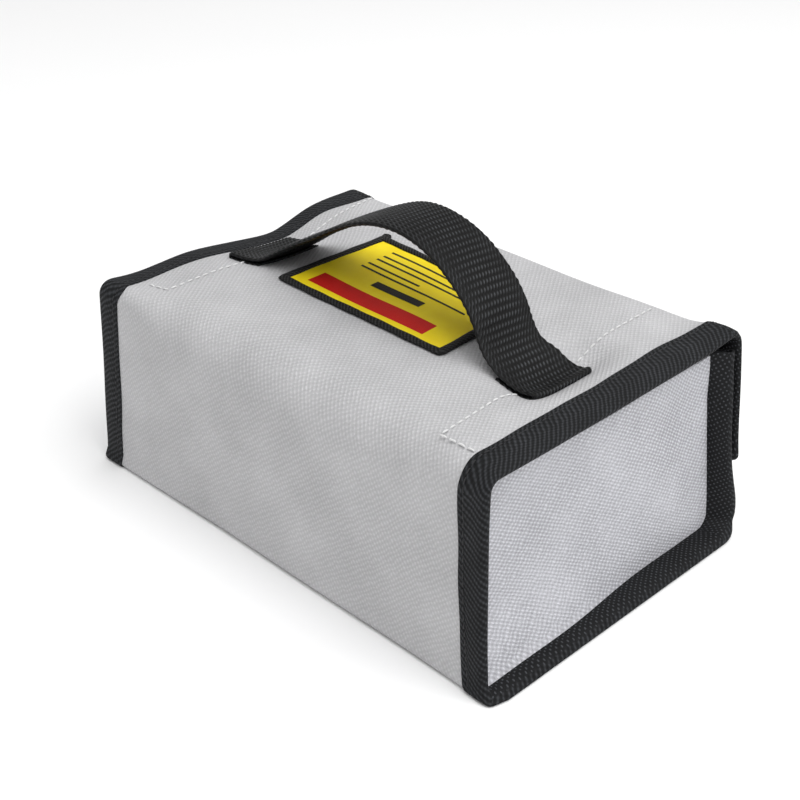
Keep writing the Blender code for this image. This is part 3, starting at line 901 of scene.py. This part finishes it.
def make_mouth_tape():
    """Tape over the top edge of the front wall."""
    low, high = box_mm("mouth_binding")
    drop = high[2] - low[2]
    x = np.linspace(-TAPE_EDGE + 0.4, TAPE_EDGE - 0.4, 90)[:, None]
    inward, depth = tape_section(high[1] - low[1], drop).T
    inward = inward * np.where(inward > SEWN_EDGE, drop / OUTER_LEG[0][0], 1.0)
    wave = 0.35 * np.sin(x / 14) + 0.15 * np.sin(x / 5 + 1)
    y = high[1] - 0.2 - depth + wave
    z = high[2] - inward + edge_wander(x, 0.4) * (inward > 6)
    piece = tube("mouth_tape", soften(np.stack(np.broadcast_arrays(x, y, z), -1)), tape_black)
    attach(piece, "bag_body")
    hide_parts("mouth_binding")


# Closure strips and tuck flaps

# Spacing of the pile's points and thickness of its strip, then the tuck flaps: their cut corners, and
# the tape's width, folded thickness, overhang, rise over the cloth and gap from the panel
PILE_SPACING = 0.7
PILE_STRIP = 0.45
TUCK_CORNER = 6.0
TUCK_TAPE = 8.0
TUCK_LEG = 2.3
TUCK_OVERHANG = 0.6
TUCK_RISE = 0.75
TUCK_GAP = 2.8

# Turn of a tuck flap's cloth, from upright to flat: distance in from the panel, and below the flap
TUCK_TURN = np.array([(0.0, 1.9), (0.05, 1.1), (0.3, 0.4)])


def pile_sheet(name, node, axis, facing, material, body):
    """Strip of hooks or loops with a pile that stands up unevenly. Axis is its thin direction."""
    low, high = box_mm(node)
    across = [i for i in range(3) if i != axis]
    counts = [max(8, int((high[i] - low[i]) / PILE_SPACING)) for i in across]
    spans = (np.linspace(low[i], high[i], n) for i, n in zip(across, counts))
    a, b = np.meshgrid(*spans, indexing="ij")
    rng = np.random.default_rng(len(node) + counts[0])
    inside = np.minimum.reduce([a - a.min(), a.max() - a, b - b.min(), b.max() - b])
    pile = rng.uniform(-0.12, 0.12, a.shape) * smooth(0, 1.5, inside) - 0.12 * smooth(1.2, 0, inside)
    points = np.empty(a.shape + (3,))
    points[..., across[0]] = a
    points[..., across[1]] = b
    points[..., axis] = (high if facing > 0 else low)[axis] + facing * (pile - 0.05)
    outer = soften(points)
    flat = np.zeros(3)
    flat[axis] = facing
    normals = grid_normals(outer, (counts[0] // 2, counts[1] // 2), axis, facing)
    leaning = unit(normals * 0.6 + flat * 0.4)
    piece = sheet_solid(name, outer, leaning, PILE_STRIP, np.stack([a, b], -1), material)
    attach(piece, body)
    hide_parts(node)


def make_closures():
    pile_sheet("front_loops", "front_loop_strip", 1, 1, loops_black, "bag_body")
    pile_sheet("flap_hooks", "flap_hook_strip", 1, -1, hooks_black, "front_flap")
    for side, word in SIDES:
        pile_sheet("lid_hooks_" + word, "lid_hook_strip_" + word, 2, -1, hooks_black, "lid")
        pile_sheet("tuck_loops_" + word, "tuck_loop_strip_" + word, 2, 1, loops_black, "tuck_" + word)


def tuck_place(word):
    """A tuck flap's level, the X of its tip whatever its side, and its lowest and highest Y."""
    low, high = box_mm("tuck_flap_" + word)
    return high[2], min(abs(low[0]), abs(high[0])), low[1], high[1]


def tuck_outline(side, word, inset):
    """Corners of a tuck flap, shrunk by an inset, from its fold round the tip and back."""
    tip, low_y, high_y = tuck_place(word)[1:]
    tip, low_y, high_y = tip + inset, low_y + inset, high_y - inset
    corner = TUCK_CORNER - inset * (2 - math.sqrt(2))
    near = [(PANEL_X, low_y), (tip + corner, low_y), (tip, low_y + corner)]
    back = [(tip, high_y - corner), (tip + corner, high_y), (PANEL_X, high_y)]
    return np.array(near + back) * (side, 1)


def tuck_level(x, y, base):
    """Height of the folded-in flap, which droops a little towards its tip."""
    inwards = smooth(PANEL_X, 58, np.abs(x))
    return base - 0.5 * inwards - 0.25 * np.sin(y / 13) * inwards


def tuck_blend(piece, side, level):
    """Find the fold at the top of the end panel, and bake the piece's placement into its points."""
    fold = soften(np.array([side * PANEL_X, 50.0, level]))[0]
    start, end = (((fold - side * reach) * MM, 0, level * MM) for reach in (0.1, 4.0))
    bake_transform(piece)


def make_tuck_cloth(side, word):
    level, tip, low_y, high_y = tuck_place(word)
    depth = PANEL_X - tip
    distance = depth * np.linspace(0, 1, 22)[:, None]
    narrowing = np.clip(distance - (depth - TUCK_CORNER), 0, None)
    y = low_y + narrowing + (high_y - low_y - 2 * narrowing) * np.linspace(0, 1, 40)
    x = side * (PANEL_X - distance) + 0 * y
    flap = np.stack([x, y, tuck_level(x, y, level)], -1)
    inwards, below = TUCK_TURN[:, :1], TUCK_TURN[:, 1:]
    turn = np.stack(np.broadcast_arrays(side * (PANEL_X - inwards), y[:1], level - below), -1)
    straight = np.concatenate([turn, flap[1:]])
    outer = soften(straight)
    normals = grid_normals(outer, (-4, 20), 2)
    uv = np.stack([side * straight[..., 1], lengths_along(outer, 0)], -1)
    cloth = sheet_solid("tuck_cloth_" + word, outer, normals, CLOTH, uv, panel_silver)
    tuck_blend(cloth, side, level)
    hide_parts("tuck_flap_" + word)


def make_tuck_tape(side, word):
    level = tuck_place(word)[0]
    rim, inner = (tuck_outline(side, word, inset) for inset in (-TUCK_OVERHANG, TUCK_TAPE))
    rim[[0, -1], 0] = inner[[0, -1], 0] = side * (PANEL_X - TUCK_GAP)
    steps = [np.linspace(i, i + 1, n, endpoint=False) for i, n in enumerate((9, 5, 26, 5, 9))]
    at = np.append(np.concatenate(steps), len(steps))
    rim, inner = (read_between(at, np.arange(6), path) for path in (rim, inner))
    inward, depth = tape_section(TUCK_LEG, TAPE_WIDTH).T
    place = rim[:, None] + (inner - rim)[:, None] * (inward / TAPE_WIDTH)[:, None]
    z = tuck_level(place[..., 0], place[..., 1], level + TUCK_RISE) - depth
    tape = tube("tuck_tape_" + word, soften(np.concatenate([place, z[..., None]], -1)), tape_black)
    tuck_blend(tape, side, level)
    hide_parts("tuck_binding_" + word)


# Label

# Corners in XY on the lid, size, and half the width and height of the edging
LABEL_CORNERS = [(-42.3, -17.8), (26.7, -17.9), (25.2, 20.8), (-41.6, 27.2)]
LABEL_SIZE = (71.0, 46.0)
LABEL_CORD = (1.5, 0.85)

# Height over the lid and thickness of the label's cloth and of its printing
LABEL_LAYER = (0.75, 0.6)
PRINT_LAYER = (0.83, 0.12)

# Plain bars in place of the label's printing: name, then from and to across the label and up it
LABEL_BARS = [
    ("title", (0.10, 0.84), (0.10, 0.27)),
    ("heading", (0.34, 0.66), (0.38, 0.46)),
    ("line_1", (0.16, 0.86), (0.545, 0.565)),
    ("line_2", (0.16, 0.52), (0.615, 0.635)),
    ("line_3", (0.16, 0.90), (0.705, 0.725)),
    ("line_4", (0.16, 0.70), (0.775, 0.795)),
    ("line_5", (0.16, 0.88), (0.865, 0.885)),
]


def label_place(u, v):
    """XY on the lid of a place on the label, with u and v from 0 to 1."""
    a, b, c, d = (np.array(corner) for corner in LABEL_CORNERS)
    u, v = np.asarray(u, float)[..., None], np.asarray(v, float)[..., None]
    return (a * (1 - u) + b * u) * (1 - v) + (d * (1 - u) + c * u) * v


def label_patch(name, u_range, v_range, layer, material, spacing):
    """Sheet on the label, between parts of its width and height."""
    counts = [
        max(2, int(size * (high - low) / spacing) + 1)
        for size, (low, high) in zip(LABEL_SIZE, (u_range, v_range))
    ]
    u, v = np.meshgrid(np.linspace(*u_range, counts[0]), np.linspace(*v_range, counts[1]), indexing="ij")
    outer = on_lid(label_place(u, v), layer[0] + label_wave(u, v))
    normals = grid_normals(outer, (counts[0] // 2, counts[1] // 2), 2)
    return sheet_solid(name, outer, normals, layer[1], np.stack([u, v], -1) * LABEL_SIZE, material)


def label_wave(u, v):
    """The label bulges a little between its sewn edges."""
    return 0.35 * np.sin(math.pi * u) * np.sin(math.pi * v) + 0.12 * np.sin(9 * u + 4 * v)


def make_label_cord():
    """Round edging sewn over the label's edge."""
    outline = polyline([(0, 0), (1, 0), (1, 1), (0, 1), (0, 0)], 0.012)[:-1]
    middle = on_lid(label_place(outline[:, 0], outline[:, 1]), LABEL_LAYER[0])
    ahead = unit(np.roll(middle, -1, 0) - np.roll(middle, 1, 0))
    up = np.array([0.0, 0.0, 1.0])
    side = unit(np.cross(ahead, up))
    angle = 2 * math.pi * np.arange(12) / 12
    swell = 1 + 0.06 * np.sin(lengths_along(middle, 0) / 2.1)[:, None]
    wide = LABEL_CORD[0] * np.cos(angle) * swell
    tall = LABEL_CORD[1] * np.sin(angle) * swell
    rings = middle[:, None] + side[:, None] * wide[..., None] + up * tall[..., None]
    border = tube("label_cord", rings, cord_black, sharp=60, loop=True)
    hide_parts("label_border")
    return border


def make_label():
    face = label_patch("label_face", (0.015, 0.985), (0.02, 0.98), LABEL_LAYER, label_yellow, 1.6)
    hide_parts("label_patch")
    pieces = [face]
    for word, u_range, v_range in LABEL_BARS:
        material = print_red if word == "title" else print_black
        pieces.append(label_patch("label_" + word, u_range, v_range, PRINT_LAYER, material, 1.2))
    pieces += [make_label_cord(), make_label_tab()]
    for piece in pieces:
        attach(piece, "lid")


def make_label_tab():
    """Loose end of the label's edging, which sticks out past its far corner."""
    direction = unit(np.array([-0.35, 1.0]))
    side = np.array([direction[1], -direction[0]])
    sideways, lift = np.array([(-1.5, 0.1), (-1.3, 1.0), (0, 1.2), (1.3, 1.0), (1.5, 0.1)]).T
    centres = LABEL_CORNERS[3] + direction * np.linspace(-1.0, 3.2, 8)[:, None]
    piece = tube("label_tab", on_lid(centres[:, None] + side * sideways[:, None], lift), cord_black)
    return piece


# Handle

# Width and thickness of the webbing, and the level its rise is measured from
WEB_WIDTH = 2 * box_mm("handle_strap")[1][1]
WEB = 1.3
LID_LEVEL = 67.8

# Points across it, the radius of its folded ends, and how far they turn under
STRAP_COLUMNS = 76
STRAP_FOLD = 0.72
STRAP_UNDERLAP = 14.0

# Height of its weave, and its edge's bumps: how high, and how many to a millimetre
WEAVE_HEIGHT = 0.3
EDGE_BUMPS = (0.12, 0.36)

# Top of the strap: x, and height above LID_LEVEL
STRAP_CREST = [
    *[(-71.6, 2.1), (-64.0, 2.2), (-57.5, 2.9), (-51.5, 6.6), (-45.0, 11.6), (-32.7, 18.9)],
    *[(-21.0, 25.9), (-10.0, 30.6), (0.0, 32.1), (9.0, 31.1), (17.5, 27.9), (25.2, 23.3)],
    *[(31.0, 18.9), (35.4, 14.1), (38.8, 9.0), (41.8, 5.4), (46.0, 3.0), (52.0, 2.2), (60.6, 2.1)],
]


def weave(along, across):
    """Height of the webbing's slanted basket weave, from -1 to 1."""
    return sum(weight * np.cos(2 * math.pi * (a * along + b * across)) for a, b, weight in WEAVE_WAVES)


def strap_skew(x):
    """The strap is sewn a little askew across the lid, mostly at its right end."""
    return -4.0 * smooth(15, 60, x) - 2.0 * smooth(-25, -70, x)


def strap_pinch(x):
    """What the arch's right half loses on each side: the strap is sewn down wider than it hangs."""
    return 1.3 * smooth(-20, 10, x) * (1 - smooth(42, 49, x))


def strap_path():
    """Middle line of the whole strap as (x, height above the lid), from one tucked-under end through its
    fold, the arch and the other fold to the other end, and the distance run along it."""
    crest = catmull(STRAP_CREST, 12)
    crest[:, 1] -= WEB / 2
    turns = []
    for tip, side in ((crest[0], -1), (crest[-1], 1)):
        angle = np.linspace(0, math.pi, 9)[1:]
        arc = STRAP_FOLD * np.stack([side * np.sin(angle), np.cos(angle) - 1], -1)
        back = [(-side * inwards, -2 * STRAP_FOLD) for inwards in np.linspace(1, STRAP_UNDERLAP, 16)]
        turns.append(tip + np.concatenate([arc, back]))
    path = np.concatenate([turns[0][::-1], crest, turns[1]])
    run = lengths_along(path, 0)
    at = np.arange(0, run[-1], 0.5)
    return read_between(at, run, path), at


def strap_girth(across, face):
    """Distance run round the strap's section, back to where it starts."""
    section = np.stack([across, face * WEB / 2], -1)
    return lengths_along(np.concatenate([section, section[:1]]), 0)


def make_handle():
    path, run = strap_path()
    ahead = unit(np.gradient(path, axis=0))
    half = WEB_WIDTH / 2
    flat = np.linspace(-half + 0.5, half - 0.5, STRAP_COLUMNS)
    rim, rim_face = np.array([(half - 0.15, 0.35), (half, 0.0), (half - 0.15, -0.35)]).T
    top = np.ones(STRAP_COLUMNS)
    across = np.concatenate([flat, rim, flat[::-1], -rim])
    face = np.concatenate([top, rim_face, -top, -rim_face])

    edge_drop = smooth(half - 1.8, half, np.abs(across)) * 0.25
    relief = np.where(np.abs(face) == 1, WEAVE_HEIGHT * weave(run[:, None], across[None]), 0.0)
    thick = face * (WEB / 2) * (1 - edge_drop) + np.sign(face) * relief
    bumps = EDGE_BUMPS[0] * np.cos(2 * math.pi * EDGE_BUMPS[1] * run)[:, None]
    bumps = bumps * (np.abs(across) > half - 0.6)
    middle_x, middle_rise = path[:, :1], path[:, 1:]
    high = smooth(3.5, 14, middle_rise)
    x = middle_x - ahead[:, 1:] * thick
    rise = middle_rise + ahead[:, :1] * thick + 0.4 * (1 - (across / half) ** 2) * high
    pinch = strap_pinch(middle_x)
    y = (across + np.sign(across) * bumps) * (1 - pinch / half) - pinch
    y = y + 0.6 * high * np.sin(middle_x / 24) + strap_skew(middle_x)
    base = on_lid(np.stack([x, y], -1), 0.0)[..., 2]
    level = LID_LEVEL + (base - LID_LEVEL) * (1 - smooth(0, 12, rise))
    rings = np.stack([x, y, rise + level], -1)
    uv = (across[0] + strap_girth(across, face), run)
    strap = tube("handle_webbing", rings, webbing_black, sharp=80, uv=uv)
    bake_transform(strap)
    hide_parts("handle_strap", "handle_end_left", "handle_end_right")


# White stitching of the hidden closure strips, seen on the lid

RIGHT_STITCHES = [(71.3, -52.5), (58.9, -52.6), (55.8, -20), (53.9, 11), (53.4, 50)]
LEFT_STITCHES = [(-72.6, -48.5), (-64.0, -47.8), (-64.3, -21), (-72.8, 53)]


def under_strap(point):
    """Whether a stitch is hidden by the sewn-down strap."""
    x, y = point[:2]
    return abs(y - strap_skew(x)) < WEB_WIDTH / 2 + 0.6 and -72.5 < x < 61.5


def make_lid_stitches():
    for word, corners in (("right", RIGHT_STITCHES), ("left", LEFT_STITCHES)):
        route = polyline(corners)
        points = on_lid(route, 0.2)
        normals = unit(points - on_lid(route, -0.4))
        name = "lid_stitches_" + word
        piece = stitch_row(name, points, normals, thread_white, pitch=3.2, width=0.66, skip=under_strap)
        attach(piece, "lid")


# Stage

FLOOR_REACH = 6.0
WORLD_STRENGTH = 0.6

# Lights: name, place, size and power
LIGHT_TARGET = Vector((0, 0, 0.03))
LIGHTS = [
    ("key", (0.9, 0.1, 1.1), 1.3, 9.5),
    ("fill", (-0.6, -1.0, 0.7), 0.9, 0.3),
    ("top", (0.25, -0.05, 1.3), 1.4, 10),
]

# Camera: azimuth, elevation and roll in degrees, place in metres and lens in millimetres
CAMERA_ANGLES = (43.377, 29.49, 1.913)
CAMERA_PLACE = Vector((0.26748, -0.28908, 0.25868))
CAMERA_LENS = 63


def make_floor():
    corners = np.array([(-1, -1, 0), (1, -1, 0), (1, 1, 0), (-1, 1, 0)]) * FLOOR_REACH / MM
    uvs = (corners[:, :2] + FLOOR_REACH / MM) / 2
    new_object("floor", corners, [(0, 1, 2, 3)], uvs, floor_paint())


def make_light(name, place, size, power):
    light = bpy.data.lights.new(name, "AREA")
    light.shape = "SQUARE"
    light.size = size
    light.energy = power
    obj = add_object(name, light)
    obj.location = place
    obj.rotation_euler = (LIGHT_TARGET - Vector(place)).to_track_quat("-Z", "Y").to_euler()


def make_world():
    world = bpy.data.worlds.new("studio")
    bpy.context.scene.world = world
    world.use_nodes = True
    background = world.node_tree.nodes["Background"]
    background.inputs["Color"].default_value = (1, 1, 1, 1)
    background.inputs["Strength"].default_value = WORLD_STRENGTH


def make_camera():
    azimuth, elevation, roll = (math.radians(angle) for angle in CAMERA_ANGLES)
    level = math.cos(elevation)
    back = Vector((math.sin(azimuth) * level, -math.cos(azimuth) * level, math.sin(elevation)))
    side = Vector((0, 0, 1)).cross(back).normalized()
    up = back.cross(side)
    right = side * math.cos(roll) + up * math.sin(roll)
    top = up * math.cos(roll) - side * math.sin(roll)
    camera = bpy.data.cameras.new("camera")
    camera.lens = CAMERA_LENS
    camera.sensor_width = 36
    camera.clip_start = 0.01
    obj = add_object("camera", camera)
    matrix = Matrix((right, top, back)).transposed().to_4x4()
    matrix.translation = CAMERA_PLACE
    obj.matrix_world = matrix
    bpy.context.scene.camera = obj


def main():
    make_camera()
    make_world()
    for light in LIGHTS:
        make_light(*light)
    make_floor()
    make_strip_cloth()
    make_lining()
    make_end_panels()
    for side, word in SIDES:
        make_end_tape(side, word)
        make_tuck_cloth(side, word)
        make_tuck_tape(side, word)
    make_flap_tape()
    make_mouth_tape()
    make_closures()
    make_label()
    make_handle()
    make_lid_stitches()
    bpy.context.scene.view_settings.view_transform = "Standard"


main()
